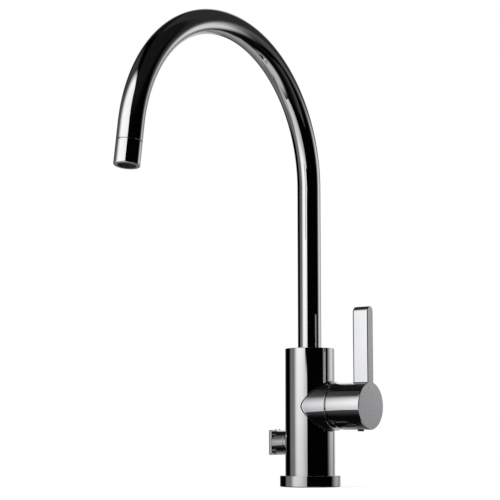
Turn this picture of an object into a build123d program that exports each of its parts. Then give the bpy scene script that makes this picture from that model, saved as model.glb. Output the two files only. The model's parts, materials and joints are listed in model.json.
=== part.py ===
from build123d import *
import os
from math import cos, radians, sin

os.makedirs("parts", exist_ok=True)

# Kitchen mixer tap: a round column with a side lever, a high swivelling spout and a shut-off
# knob. All lengths are in millimetres. The origin is the centre of the foot, on the worktop.
# +Z goes up the column, the spout reaches towards -Y, the lever's axis points along +X and
# the shut-off knob along -X.

# Clearances
fixed_gap = 0.05  # between round pieces that are pressed or screwed together
running_gap = 0.1  # between a shaft and the hole that it turns in
free_gap = 0.3  # between pieces that pass each other without touching

# Foot
foot_radius = 28.0
foot_thickness = 9.9
foot_bevel = 0.4
seal_outer_radius = 26.6
seal_inner_radius = 22.6
seal_thickness = 2.3
seal_proud = 0.3  # how far the seal stands out under the foot
foot_top = seal_proud + foot_thickness

# Column
body_radius = 23.0
body_wall = 3.0
body_cap = 6.5  # thickness of the column's closed top
body_bevel = 0.4
core_recess = 3.0  # the core ends this far above the worktop
core_web = 6.6  # core left between the cartridge's bore and the spout's foot

# Spout
tube_radius = 11.0
tube_wall = 1.2
spout_straight = 150.5  # straight tube between the column's top and the arch
arch_radius = 129.0
arch_angle = 172.0
outlet_straight = 14.0  # straight tube between the arch and the outlet sleeve

# Spout's foot inside the column
spout_foot_radius = 15.0
spout_foot_length = 15.4
ring_groove_depth = 2.5
ring_section_radius = 1.2
ring_margin = 3.2  # from the foot's end to the middle of a sealing ring
lock_groove_depth = 1.7
lock_groove_width = 4.0
lock_screw_radius = 2.0
lock_tip_radius = 1.5
lock_tip_length = 2.4
bush_wall = 2.0
retaining_ring_thickness = 6.0
cap_clearance = 1.3  # between the retaining ring and the column's closed top

# Outlet sleeve and the flow straightener in it
sleeve_length = 20.4
sleeve_joint = 0.4  # width of the fine groove between tube and sleeve
sleeve_wall = 1.6
sleeve_lip = 2.6  # thickness of the turned-in lip at the outlet
sleeve_rounding = 0.9
outlet_radius = 7.75
spigot_length = 8.0
spigot_wall = 1.1
straightener_length = 12.0
outlet_seal_thickness = 1.1
grille_thickness = 0.8
grille_hole_radius = 0.62
grille_ring_pitch = 1.95
grille_rings = 3
grille_first_ring = 6  # holes in the innermost ring

# Side stub that holds the cartridge
hub_height = 73.0  # height of the lever's axis
stub_radius = 22.0
stub_reach = 29.7  # from the column's axis to the stub's end
stub_thread_radius = 19.5
stub_thread_depth = 5.7
lip_bevel = 0.5

# Cartridge
cartridge_seat = 4.0  # from the column's axis to the cartridge's underside
cartridge_radius = 17.4
cartridge_wall = 2.4
cartridge_base_thickness = 4.0
disc_radius = 13.0
disc_thickness = 2.5
moving_disc_radius = 11.0
neck_radius = 13.5
neck_wall = 1.9
shoulder_thickness = 2.0
neck_end = 29.0
nut_length = 3.5
port_radius = 2.8
port_spread = 8.0  # sideways distance of the two supply ports from the axis
port_drop = 4.6  # how far the supply ports lie under the axis
port_rise = 9.2  # how far the mixed water port lies above the axis
port_seal_wall = 1.3
port_seal_thickness = 1.5

# Cover over the cartridge, a ball zone round the point that the lever tilts about
seam_width = 1.0
dome_radius = 20.0
dome_wall = 1.7
dome_opening_radius = 11.0

# Lever
hub_radius = 21.4
hub_face = 66.0  # from the column's axis to the lever's flat side face
lever_tilt = 20.0
bar_width = 16.5
bar_thickness = 10.0
lever_reach = 90.0  # from the lever's axis to its top
bar_inner_rounding = 2.4
bar_foot_rounding = 1.0
face_rounding = 0.8

# Carrier, cross pin and stem
carrier_cheek_end = 35.0
carrier_flange_radius = 14.5
carrier_floor = 1.8
stem_width = 8.0
stem_height = 7.0
stem_start = 16.0
stem_end = 60.0
stem_side_gap = 0.2
pin_radius = 1.5
set_screw_radius = 2.5
set_screw_length = 8.0
set_screw_place = 55.0  # from the column's axis
plug_radius = 2.9
plug_proud = 1.4
plug_seat = 0.7
plug_shank_length = 5.0
key_side_count = 6  # the screws have hexagon sockets

# Shut-off valve and its knob
valve_height = 40.2
valve_seat = 9.0  # from the column's axis to the valve's seat
valve_disc_radius = 5.8
valve_disc_thickness = 2.0
valve_bonnet_radius = 6.1
valve_bonnet_end = 27.0
boss_radius = 8.2
boss_reach = 26.0
spindle_radius = 3.1
spindle_grip = 6.0
knob_radius = 11.2
knob_end = 35.6  # from the column's axis to the knob's plate
knob_bevel = 0.3
plate_side = 23.0
plate_thickness = 3.3
plate_corner = 1.0
plate_edge = 0.3
plate_rounding = 1.2
pip_spread = 3.0
pip_width = 1.4
pip_depth = 1.3
pip_height = 0.9
knob_screw_radius = 1.5
knob_screw_head_radius = 2.8
knob_screw_head = 1.6

# Sockets in the core's underside
hose_thread_radius = 4.55
hose_thread_depth = 14.0
stud_thread_radius = 4.25
stud_thread_depth = 16.0
supply_back = 4.0  # distance of the two supply sockets behind the seat, towards -X
stud_place = 10.0
outlet_socket_place = 13.0
passage_radius = 3.0

# Places worked out from the sizes above
body_bore = body_radius - body_wall
core_radius = body_bore - fixed_gap
spout_foot_height = hub_height + cartridge_radius + free_gap + core_web
core_top = spout_foot_height + spout_foot_length
lock_height = spout_foot_height + spout_foot_length / 2
cap_underside = core_top + retaining_ring_thickness + cap_clearance
body_height = cap_underside + body_cap
spout_rise = body_height + spout_straight
bar_top = hub_height + lever_reach
tube_bore = tube_radius - tube_wall
pivot = stub_reach + seam_width
bush_radius = tube_radius + running_gap + bush_wall
cartridge_bore = cartridge_radius - cartridge_wall
disc_face = cartridge_seat + cartridge_base_thickness
moving_disc_face = disc_face + disc_thickness + running_gap
carrier_start = moving_disc_face + disc_thickness + fixed_gap
shoulder_start = stub_reach - stub_thread_depth - shoulder_thickness
shoulder_face = shoulder_start + shoulder_thickness
neck_bore = neck_radius - neck_wall
carrier_radius = neck_bore - free_gap
dome_skirt_radius = stub_thread_radius - fixed_gap
hub_bore = dome_radius + free_gap
hub_underside = hub_height - hub_radius
port_places = [(port_spread, -port_drop), (-port_spread, -port_drop), (0, port_rise)]


def across(distance):
    """A plane square to the lever's axis, facing +X."""
    return Plane(origin=(distance, 0, hub_height), x_dir=(0, 1, 0), z_dir=(1, 0, 0))


def knobward(distance):
    """A plane square to the knob's axis, facing -X."""
    return Plane(origin=(-distance, 0, valve_height), x_dir=(0, -1, 0), z_dir=(-1, 0, 0))


def level(height):
    """A level plane at a height above the worktop."""
    return Plane.XY.offset(height)


def outlet(distance):
    """A plane square to the spout's end, some way beyond the end of the arch."""
    turn = radians(arch_angle)
    along = (0, -sin(turn), cos(turn))
    start_y = arch_radius * (cos(turn) - 1)
    start_z = spout_rise + arch_radius * sin(turn)
    place = (0, start_y + distance * along[1], start_z + distance * along[2])
    return Plane(origin=place, x_dir=(1, 0, 0), z_dir=along)


def washer(plane, outer_radius, inner_radius, thickness):
    """A flat ring on a plane, for the pieces that are nothing else."""
    with BuildPart() as piece:
        with BuildSketch(plane):
            Circle(outer_radius)
            Circle(inner_radius, mode=Mode.SUBTRACT)
        extrude(amount=thickness)
    return piece


def write(piece, name):
    """Names a finished piece and writes it."""
    piece.part.label = name
    export_step(piece.part, "parts/" + name + ".step")


# Foot ring with the groove for its seal
with BuildPart() as base_flange:
    with BuildSketch(level(seal_proud)):
        Circle(foot_radius)
        Circle(body_bore, mode=Mode.SUBTRACT)
    extrude(amount=foot_thickness)
    chamfer(base_flange.edges().filter_by(GeomType.CIRCLE).group_by(SortBy.RADIUS)[-1], length=foot_bevel)
    with BuildSketch(level(seal_proud)):
        Circle(seal_outer_radius + fixed_gap)
        Circle(seal_inner_radius - fixed_gap, mode=Mode.SUBTRACT)
    extrude(amount=seal_thickness - seal_proud, mode=Mode.SUBTRACT)
base_flange.part.label = "base_flange"
export_step(base_flange.part, "parts/base_flange.step")

base_gasket = washer(level(0), seal_outer_radius, seal_inner_radius, seal_thickness)
write(base_gasket, "base_gasket")

# Chromed column with its side stub, the boss of the shut-off valve on its round pad and the closed top
with BuildPart() as body_housing:
    with BuildSketch(level(foot_top)):
        Circle(body_radius)
    extrude(amount=body_height - foot_top)
    chamfer(body_housing.faces().sort_by(Axis.Z)[-1].edges(), length=body_bevel)
    with BuildSketch(across(0)):
        Circle(stub_radius)
    extrude(amount=stub_reach)
    chamfer(body_housing.faces().sort_by(Axis.X)[-1].edges(), length=lip_bevel)
    with BuildSketch(knobward(0)):
        Circle(knob_radius)
    extrude(amount=body_radius)
    with BuildSketch(knobward(0)):
        Circle(boss_radius)
    extrude(amount=boss_reach)
    with BuildSketch(level(foot_top)):
        Circle(body_bore)
    extrude(amount=cap_underside - foot_top, mode=Mode.SUBTRACT)
    with BuildSketch(level(cap_underside)):
        Circle(bush_radius + fixed_gap)
    extrude(amount=body_cap, mode=Mode.SUBTRACT)
    with BuildSketch(across(cartridge_seat)):
        Circle(cartridge_radius + free_gap)
    extrude(amount=stub_reach - cartridge_seat, mode=Mode.SUBTRACT)
    with BuildSketch(across(stub_reach - stub_thread_depth)):
        Circle(stub_thread_radius)
    extrude(amount=stub_thread_depth, mode=Mode.SUBTRACT)
    with BuildSketch(knobward(valve_seat)):
        Circle(valve_bonnet_radius + fixed_gap)
    extrude(amount=boss_reach - valve_seat, mode=Mode.SUBTRACT)
    with BuildSketch(Plane.XZ.offset(-body_radius)):
        with Locations((0, lock_height)):
            Circle(lock_screw_radius + fixed_gap)
    extrude(amount=body_radius - spout_foot_radius, mode=Mode.SUBTRACT)
body_housing.part.label = "body_housing"
export_step(body_housing.part, "parts/body_housing.step")

# Core inside the column, with its waterways, sockets and seats
with BuildPart() as manifold_core:
    with BuildSketch(level(core_recess)):
        Circle(core_radius)
    extrude(amount=core_top - core_recess)
    with BuildSketch(level(core_recess)):
        with Locations((-supply_back, port_spread), (-supply_back, -port_spread), (-outlet_socket_place, 0)):
            Circle(hose_thread_radius)
    extrude(amount=hose_thread_depth, mode=Mode.SUBTRACT)
    with BuildSketch(level(core_recess)):
        with Locations((stud_place, 0)):
            Circle(stud_thread_radius)
    extrude(amount=stud_thread_depth, mode=Mode.SUBTRACT)
    with BuildSketch(across(cartridge_seat)):
        Circle(cartridge_radius + free_gap)
    extrude(amount=body_radius, mode=Mode.SUBTRACT)
    with BuildSketch(knobward(valve_seat)):
        Circle(valve_bonnet_radius + fixed_gap)
    extrude(amount=body_radius, mode=Mode.SUBTRACT)
    with BuildSketch(level(spout_foot_height - free_gap)):
        Circle(spout_foot_radius + running_gap)
    extrude(amount=core_top - spout_foot_height + free_gap, mode=Mode.SUBTRACT)
    with BuildSketch(Plane.XZ.offset(-body_radius)):
        with Locations((0, lock_height)):
            Circle(lock_screw_radius + fixed_gap)
    extrude(amount=body_radius - spout_foot_radius, mode=Mode.SUBTRACT)
    with BuildSketch(level(core_recess + hose_thread_depth)):
        with Locations((-supply_back, port_spread), (-supply_back, -port_spread)):
            Circle(passage_radius)
    extrude(amount=hub_height - port_drop - core_recess - hose_thread_depth, mode=Mode.SUBTRACT)
    with BuildSketch(across(-supply_back)):
        with Locations(*port_places):
            Circle(port_radius)
    extrude(amount=cartridge_seat + supply_back, mode=Mode.SUBTRACT)
    with BuildSketch(level(hub_height + port_rise)):
        with Locations((-supply_back, 0)):
            Circle(passage_radius)
    extrude(amount=spout_foot_height - hub_height - port_rise, mode=Mode.SUBTRACT)
    with BuildSketch(knobward(supply_back)):
        Circle(port_radius)
    extrude(amount=valve_seat - supply_back, mode=Mode.SUBTRACT)
    with BuildSketch(Plane.XZ.offset(0)):
        with Locations((-supply_back, valve_height)):
            Circle(port_radius)
    extrude(amount=port_spread, mode=Mode.SUBTRACT)
    with BuildSketch(level(core_recess + hose_thread_depth)):
        with Locations((-outlet_socket_place, 0)):
            Circle(port_radius)
    extrude(amount=valve_height - core_recess - hose_thread_depth, mode=Mode.SUBTRACT)
manifold_core.part.label = "manifold_core"
export_step(manifold_core.part, "parts/manifold_core.step")

# Rings that carry and hold the spout in the column
spout_bush = washer(level(cap_underside), bush_radius, tube_radius + running_gap, body_cap - body_bevel)
write(spout_bush, "spout_bush")

retaining_ring = washer(level(core_top), core_radius, tube_radius + free_gap, retaining_ring_thickness)
write(retaining_ring, "spout_retaining_ring")

# Screw at the column's back, whose tip runs in the groove of the spout's foot
lock_tip_reach = spout_foot_radius - lock_groove_depth + free_gap
with BuildPart() as lock_screw:
    with BuildSketch(Plane.XZ.offset(-lock_tip_reach - lock_tip_length)):
        with Locations((0, lock_height)):
            Circle(lock_screw_radius)
    extrude(amount=lock_tip_reach + lock_tip_length - body_radius + body_bevel)
    with BuildSketch(Plane.XZ.offset(-lock_tip_reach)):
        with Locations((0, lock_height)):
            Circle(lock_tip_radius)
    extrude(amount=-lock_tip_length)
    with BuildSketch(Plane.XZ.offset(-body_radius + body_bevel)):
        with Locations((0, lock_height)):
            RegularPolygon(lock_tip_radius - free_gap, key_side_count)
    extrude(amount=lock_tip_length, mode=Mode.SUBTRACT)
lock_screw.part.label = "spout_lock_screw"
export_step(lock_screw.part, "parts/spout_lock_screw.step")

# Cartridge: base with its ports, seals, fixed disc, housing and the ring nut that clamps it
with BuildPart() as cartridge_base:
    with BuildSketch(across(cartridge_seat)):
        Circle(cartridge_radius)
        with Locations(*port_places):
            Circle(port_radius, mode=Mode.SUBTRACT)
    extrude(amount=cartridge_base_thickness)
    with BuildSketch(across(cartridge_seat)):
        with Locations(*port_places):
            Circle(port_radius + port_seal_wall + fixed_gap)
    extrude(amount=port_seal_thickness, mode=Mode.SUBTRACT)
cartridge_base.part.label = "cartridge_base"
export_step(cartridge_base.part, "parts/cartridge_base.step")

for number, (side, rise) in enumerate(port_places, start=1):
    with BuildPart() as port_seal:
        with BuildSketch(across(cartridge_seat)):
            with Locations((side, rise)):
                Circle(port_radius + port_seal_wall)
                Circle(port_radius, mode=Mode.SUBTRACT)
        extrude(amount=port_seal_thickness)
    write(port_seal, "cartridge_seal_" + str(number))

with BuildPart() as fixed_disc:
    with BuildSketch(across(disc_face)):
        Circle(disc_radius)
        with Locations(*port_places):
            Circle(port_radius, mode=Mode.SUBTRACT)
    extrude(amount=disc_thickness)
fixed_disc.part.label = "cartridge_fixed_disc"
export_step(fixed_disc.part, "parts/cartridge_fixed_disc.step")

with BuildPart() as cartridge_housing:
    with BuildSketch(across(disc_face)):
        Circle(cartridge_radius)
    extrude(amount=shoulder_face - disc_face)
    with BuildSketch(across(shoulder_face)):
        Circle(neck_radius)
    extrude(amount=neck_end - shoulder_face)
    with BuildSketch(across(disc_face)):
        Circle(cartridge_bore)
    extrude(amount=shoulder_start - disc_face, mode=Mode.SUBTRACT)
    with BuildSketch(across(shoulder_start)):
        Circle(neck_bore)
    extrude(amount=neck_end - shoulder_start, mode=Mode.SUBTRACT)
cartridge_housing.part.label = "cartridge_housing"
export_step(cartridge_housing.part, "parts/cartridge_housing.step")

cartridge_nut = washer(across(shoulder_face), dome_skirt_radius, neck_radius + fixed_gap, nut_length)
write(cartridge_nut, "cartridge_nut")

# Cover over the cartridge: a ball zone, with a skirt that screws into the stub
with BuildPart() as dome_cover:
    with BuildSketch(across(shoulder_face + nut_length)):
        Circle(dome_skirt_radius)
    extrude(amount=pivot - shoulder_face - nut_length)
    with Locations((pivot, 0, hub_height)):
        Sphere(dome_radius)
    with BuildSketch(across(stub_reach)):
        Circle(dome_radius + body_radius)
        Circle(dome_skirt_radius, mode=Mode.SUBTRACT)
    extrude(amount=-dome_radius, mode=Mode.SUBTRACT)
    with BuildSketch(across(shoulder_face + nut_length)):
        Circle(dome_radius + body_radius)
    extrude(amount=-dome_radius, mode=Mode.SUBTRACT)
    with BuildSketch(across(shoulder_face + nut_length)):
        Circle(dome_radius - dome_wall)
    extrude(amount=pivot - shoulder_face - nut_length, mode=Mode.SUBTRACT)
    with Locations((pivot, 0, hub_height)):
        Sphere(dome_radius - dome_wall, mode=Mode.SUBTRACT)
    with BuildSketch(across(pivot)):
        Circle(dome_opening_radius)
    extrude(amount=dome_radius, mode=Mode.SUBTRACT)
dome_cover.part.label = "dome_cover"
export_step(dome_cover.part, "parts/dome_cover.step")

# What turns with the lever about its axis: moving disc, carrier and cross pin
with BuildPart() as moving_disc:
    with BuildSketch(across(moving_disc_face)):
        Circle(moving_disc_radius)
        with Locations((0, port_rise - port_drop)):
            Circle(port_radius, mode=Mode.SUBTRACT)
    extrude(amount=disc_thickness)
moving_disc.part.label = "cartridge_moving_disc"
export_step(moving_disc.part, "parts/cartridge_moving_disc.step")

with BuildPart() as carrier:
    with BuildSketch(across(carrier_start)):
        Circle(carrier_flange_radius)
    extrude(amount=shoulder_start - free_gap - carrier_start)
    with BuildSketch(across(carrier_start)):
        Circle(carrier_radius)
    extrude(amount=carrier_cheek_end - carrier_start)
    with BuildSketch(across(carrier_start + carrier_floor)):
        Rectangle(stem_width + 2 * stem_side_gap, 2 * carrier_radius + 2 * cartridge_wall)
    extrude(amount=carrier_cheek_end - carrier_start, mode=Mode.SUBTRACT)
    with BuildSketch(Plane.XZ.offset(-carrier_radius)):
        with Locations((pivot, hub_height)):
            Circle(pin_radius + fixed_gap)
    extrude(amount=2 * carrier_radius, mode=Mode.SUBTRACT)
carrier.part.label = "cartridge_carrier"
export_step(carrier.part, "parts/cartridge_carrier.step")

pin_half_length = carrier_radius - free_gap
with BuildPart() as cross_pin:
    with BuildSketch(Plane.XZ.offset(-pin_half_length)):
        with Locations((pivot, hub_height)):
            Circle(pin_radius)
    extrude(amount=2 * pin_half_length)
cross_pin.part.label = "cartridge_pin"
export_step(cross_pin.part, "parts/cartridge_pin.step")

# Lever: hub and upright bar in one casting, hollow over the cover, cut back under the axis so
# that its lower rim passes the stub when the lever tilts outwards
bar_round_centre = bar_top - hub_height - bar_thickness / 2
relief_gap = seam_width - free_gap
relief_normal = (-cos(radians(lever_tilt)), 0, -sin(radians(lever_tilt)))
relief_origin = (pivot + relief_gap * relief_normal[0], 0, hub_height + relief_gap * relief_normal[2])
with BuildPart() as lever:
    with BuildSketch(across(hub_face - bar_width)):
        with Locations((0, bar_round_centre / 2)):
            Rectangle(bar_thickness, bar_round_centre)
        with Locations((0, bar_round_centre)):
            Circle(bar_thickness / 2)
    extrude(amount=bar_width)
    inner_edges = lever.faces().sort_by(Axis.X)[0].edges()
    fillet(inner_edges.filter_by_position(Axis.Z, hub_height + lip_bevel, bar_top), radius=bar_inner_rounding)
    with BuildSketch(across(pivot)):
        Circle(hub_radius)
    extrude(amount=hub_face - pivot)
    chamfer(lever.faces().sort_by(Axis.X)[0].edges(), length=lip_bevel)
    hub_crown = hub_height + hub_radius + bar_foot_rounding
    near_top = lever.edges().filter_by_position(Axis.Z, hub_height + hub_radius / 2, hub_crown)
    near_bar = near_top.filter_by_position(Axis.X, hub_face - bar_width - bar_foot_rounding, hub_face)
    foot_edges = near_bar.filter_by_position(Axis.Y, -bar_thickness, bar_thickness)
    fillet(foot_edges, radius=bar_foot_rounding)
    fillet(lever.faces().sort_by(Axis.X)[-1].edges(), radius=face_rounding)
    with Locations((pivot, 0, hub_height)):
        Sphere(hub_bore, mode=Mode.SUBTRACT)
    with BuildSketch(across(pivot)):
        Rectangle(stem_width + 2 * fixed_gap, stem_height + 2 * fixed_gap)
    extrude(amount=stem_end + free_gap - pivot, mode=Mode.SUBTRACT)
    with BuildSketch(level(hub_underside)):
        with Locations((set_screw_place, 0)):
            Circle(set_screw_radius + fixed_gap)
    extrude(amount=hub_radius, mode=Mode.SUBTRACT)
    with BuildSketch(level(hub_underside)):
        with Locations((set_screw_place, 0)):
            Circle(plug_radius + fixed_gap)
    extrude(amount=plug_seat, mode=Mode.SUBTRACT)
    with BuildSketch(Plane(origin=relief_origin, x_dir=(0, 1, 0), z_dir=relief_normal)):
        Rectangle(hub_face, hub_face)
    extrude(amount=hub_radius, mode=Mode.SUBTRACT)
lever.part.label = "lever"
export_step(lever.part, "parts/lever.step")

with BuildPart() as stem:
    with BuildSketch(across(stem_start)):
        Rectangle(stem_width, stem_height)
    extrude(amount=stem_end - stem_start)
    with BuildSketch(Plane.XZ.offset(-stem_width)):
        with Locations((pivot, hub_height)):
            Circle(pin_radius + running_gap)
    extrude(amount=2 * stem_width, mode=Mode.SUBTRACT)
stem.part.label = "cartridge_stem"
export_step(stem.part, "parts/cartridge_stem.step")

# Set screw that clamps the stem, and the plug that closes its hole under the hub
set_screw_top = hub_height - stem_height / 2
with BuildPart() as set_screw:
    with BuildSketch(level(set_screw_top - set_screw_length)):
        with Locations((set_screw_place, 0)):
            Circle(set_screw_radius)
    extrude(amount=set_screw_length)
    with BuildSketch(level(set_screw_top - set_screw_length)):
        with Locations((set_screw_place, 0)):
            RegularPolygon(set_screw_radius / 2, key_side_count)
    extrude(amount=set_screw_length / 2, mode=Mode.SUBTRACT)
set_screw.part.label = "lever_set_screw"
export_step(set_screw.part, "parts/lever_set_screw.step")

with BuildPart() as plug:
    with BuildSketch(level(hub_underside - plug_proud)):
        with Locations((set_screw_place, 0)):
            Circle(plug_radius)
    extrude(amount=plug_proud + plug_seat)
    fillet(plug.faces().sort_by(Axis.Z)[0].edges(), radius=plug_proud / 2)
    with BuildSketch(level(hub_underside + plug_seat)):
        with Locations((set_screw_place, 0)):
            Circle(set_screw_radius)
    extrude(amount=plug_shank_length)
plug.part.label = "lever_plug"
export_step(plug.part, "parts/lever_plug.step")

# Spout tube: a straight rise, one arch and a short straight end
with BuildPart() as spout_tube:
    with BuildLine(Plane.YZ) as spout_path:
        rise = Line((0, spout_foot_height), (0, spout_rise))
        arch = CenterArc((-arch_radius, spout_rise), arch_radius, 0, arch_angle)
        Line(arch @ 1, (arch @ 1) + (arch % 1) * outlet_straight)
    with BuildSketch(level(spout_foot_height)):
        Circle(tube_radius)
        Circle(tube_bore, mode=Mode.SUBTRACT)
    sweep(path=spout_path.wires()[0])
spout_tube.part.label = "spout_tube"
export_step(spout_tube.part, "parts/spout_tube.step")

# Spout's foot: a sleeve with two sealing rings and the groove for the lock screw
ring_heights = (spout_foot_height + ring_margin, core_top - ring_margin)
ring_middle_radius = spout_foot_radius - ring_section_radius - fixed_gap
with BuildPart() as spout_foot:
    with BuildSketch(level(spout_foot_height)):
        Circle(spout_foot_radius)
        Circle(tube_radius + fixed_gap, mode=Mode.SUBTRACT)
    extrude(amount=spout_foot_length)
    with BuildSketch(level(lock_height - lock_groove_width / 2)):
        Circle(spout_foot_radius + ring_groove_depth)
        Circle(spout_foot_radius - lock_groove_depth, mode=Mode.SUBTRACT)
    extrude(amount=lock_groove_width, mode=Mode.SUBTRACT)
    for height in ring_heights:
        with BuildSketch(level(height - ring_section_radius - fixed_gap)):
            Circle(spout_foot_radius + ring_groove_depth)
            Circle(spout_foot_radius - ring_groove_depth, mode=Mode.SUBTRACT)
        extrude(amount=2 * (ring_section_radius + fixed_gap), mode=Mode.SUBTRACT)
spout_foot.part.label = "spout_foot"
export_step(spout_foot.part, "parts/spout_foot.step")

for name, height in zip(("spout_seal_lower", "spout_seal_upper"), ring_heights):
    with BuildPart() as sealing_ring:
        with BuildSketch(Plane.XZ):
            with Locations((ring_middle_radius, height)):
                Circle(ring_section_radius)
        revolve(axis=Axis.Z)
    write(sealing_ring, name)

# Outlet sleeve, with the spigot that screws into the tube and the turned-in lip
sleeve_start = outlet_straight + sleeve_joint
sleeve_bore = tube_radius - sleeve_wall
chamber_start = sleeve_start + sleeve_wall
lip_start = sleeve_start + sleeve_length - sleeve_lip
spigot_radius = tube_bore - fixed_gap
with BuildPart() as aerator_sleeve:
    with BuildSketch(outlet(sleeve_start)):
        Circle(tube_radius)
    extrude(amount=sleeve_length)
    fillet(aerator_sleeve.edges().filter_by(GeomType.CIRCLE), radius=sleeve_rounding)
    with BuildSketch(outlet(sleeve_start - spigot_length)):
        Circle(spigot_radius)
    extrude(amount=spigot_length + sleeve_wall)
    with BuildSketch(outlet(sleeve_start - spigot_length)):
        Circle(spigot_radius - spigot_wall)
    extrude(amount=spigot_length + sleeve_wall, mode=Mode.SUBTRACT)
    with BuildSketch(outlet(chamber_start)):
        Circle(sleeve_bore)
    extrude(amount=lip_start - chamber_start, mode=Mode.SUBTRACT)
    with BuildSketch(outlet(lip_start)):
        Circle(outlet_radius)
    extrude(amount=sleeve_lip, mode=Mode.SUBTRACT)
aerator_sleeve.part.label = "aerator_sleeve"
export_step(aerator_sleeve.part, "parts/aerator_sleeve.step")

# Flow straightener between its seal and the lip, with a grille at its mouth
chamber_radius = sleeve_bore - fixed_gap
straightener_end = chamber_start + outlet_seal_thickness + straightener_length
grille_start = lip_start - grille_thickness
outlet_seal = washer(outlet(chamber_start), chamber_radius, outlet_radius, outlet_seal_thickness)
write(outlet_seal, "aerator_gasket")

with BuildPart() as straightener:
    with BuildSketch(outlet(chamber_start + outlet_seal_thickness)):
        Circle(chamber_radius)
    extrude(amount=straightener_length)
    for ring in range(1, grille_rings + 1):
        with BuildSketch(outlet(chamber_start + outlet_seal_thickness)):
            with PolarLocations(ring * grille_ring_pitch, ring * grille_first_ring):
                Circle(grille_hole_radius)
        extrude(amount=straightener_length, mode=Mode.SUBTRACT)
straightener.part.label = "aerator_straightener"
export_step(straightener.part, "parts/aerator_straightener.step")

spacer = washer(outlet(straightener_end), chamber_radius, outlet_radius, grille_start - straightener_end)
write(spacer, "aerator_spacer")

with BuildPart() as grille:
    with BuildSketch(outlet(grille_start)):
        Circle(chamber_radius)
    extrude(amount=grille_thickness)
    for ring in range(1, grille_rings + 1):
        with BuildSketch(outlet(grille_start)):
            with PolarLocations(ring * grille_ring_pitch, ring * grille_first_ring):
                Circle(grille_hole_radius)
        extrude(amount=grille_thickness, mode=Mode.SUBTRACT)
grille.part.label = "aerator_grille"
export_step(grille.part, "parts/aerator_grille.step")

# Shut-off valve: fixed disc on its seat and the bonnet that carries the spindle
valve_disc_face = valve_seat + valve_disc_thickness
with BuildPart() as valve_disc:
    with BuildSketch(knobward(valve_seat)):
        Circle(valve_disc_radius)
        Circle(port_radius, mode=Mode.SUBTRACT)
    extrude(amount=valve_disc_thickness)
valve_disc.part.label = "valve_fixed_disc"
export_step(valve_disc.part, "parts/valve_fixed_disc.step")

valve_moving_face = valve_disc_face + running_gap
bonnet_start = valve_moving_face + valve_disc_thickness + free_gap
valve_bonnet = washer(
    knobward(bonnet_start), valve_bonnet_radius, spindle_radius + running_gap, valve_bonnet_end - bonnet_start
)
write(valve_bonnet, "valve_bonnet")

# What turns with the knob: moving disc, spindle, collar, end screw and finger plate
with BuildPart() as valve_moving_disc:
    with BuildSketch(knobward(valve_moving_face)):
        Circle(valve_disc_radius)
        with Locations((0, valve_disc_radius / 2)):
            Circle(valve_disc_thickness, mode=Mode.SUBTRACT)
    extrude(amount=valve_disc_thickness)
valve_moving_disc.part.label = "valve_moving_disc"
export_step(valve_moving_disc.part, "parts/valve_moving_disc.step")

collar_floor = valve_bonnet_end + free_gap
spindle_end = collar_floor + spindle_grip
with BuildPart() as spindle:
    with BuildSketch(knobward(valve_moving_face + valve_disc_thickness)):
        Circle(spindle_radius)
    extrude(amount=spindle_end - valve_moving_face - valve_disc_thickness)
    with BuildSketch(knobward(collar_floor)):
        Circle(knob_screw_radius + fixed_gap)
    extrude(amount=spindle_grip, mode=Mode.SUBTRACT)
spindle.part.label = "knob_spindle"
export_step(spindle.part, "parts/knob_spindle.step")

with BuildPart() as knob_collar:
    with BuildSketch(knobward(body_radius + free_gap)):
        Circle(knob_radius)
    extrude(amount=knob_end - body_radius - free_gap)
    chamfer(knob_collar.faces().sort_by(Axis.X)[-1].edges(), length=knob_bevel)
    with BuildSketch(knobward(body_radius)):
        Circle(boss_radius + free_gap)
    extrude(amount=collar_floor - body_radius, mode=Mode.SUBTRACT)
    with BuildSketch(knobward(collar_floor)):
        Circle(spindle_radius + fixed_gap)
    extrude(amount=spindle_grip, mode=Mode.SUBTRACT)
    with BuildSketch(knobward(spindle_end)):
        Circle(knob_screw_radius + fixed_gap)
    extrude(amount=knob_end - spindle_end, mode=Mode.SUBTRACT)
    with BuildSketch(knobward(knob_end - knob_screw_head)):
        Circle(knob_screw_head_radius + fixed_gap)
    extrude(amount=knob_screw_head, mode=Mode.SUBTRACT)
knob_collar.part.label = "knob_collar"
export_step(knob_collar.part, "parts/knob_collar.step")

with BuildPart() as knob_screw:
    with BuildSketch(knobward(collar_floor)):
        Circle(knob_screw_radius)
    extrude(amount=knob_end - knob_screw_head - collar_floor)
    with BuildSketch(knobward(knob_end - knob_screw_head)):
        Circle(knob_screw_head_radius)
    extrude(amount=knob_screw_head)
    with BuildSketch(knobward(knob_end - knob_screw_head / 2)):
        RegularPolygon(knob_screw_radius, key_side_count)
    extrude(amount=knob_screw_head / 2, mode=Mode.SUBTRACT)
knob_screw.part.label = "knob_screw"
export_step(knob_screw.part, "parts/knob_screw.step")

with BuildPart() as knob_plate:
    with BuildSketch(knobward(knob_end)):
        RectangleRounded(plate_side, plate_side, plate_corner)
    extrude(amount=plate_thickness)
    fillet(knob_plate.faces().sort_by(Axis.X)[0].edges(), radius=plate_rounding)
    fillet(knob_plate.faces().sort_by(Axis.X)[-1].edges(), radius=plate_edge)
    pip_place = -knob_end - plate_edge - pip_depth / 2
    with BuildSketch(level(valve_height + plate_side / 2 - plate_edge)):
        with Locations((pip_place, pip_spread), (pip_place, -pip_spread)):
            Rectangle(pip_depth, pip_width)
    extrude(amount=pip_height + plate_edge)
knob_plate.part.label = "knob_plate"
export_step(knob_plate.part, "parts/knob_plate.step")
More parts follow.
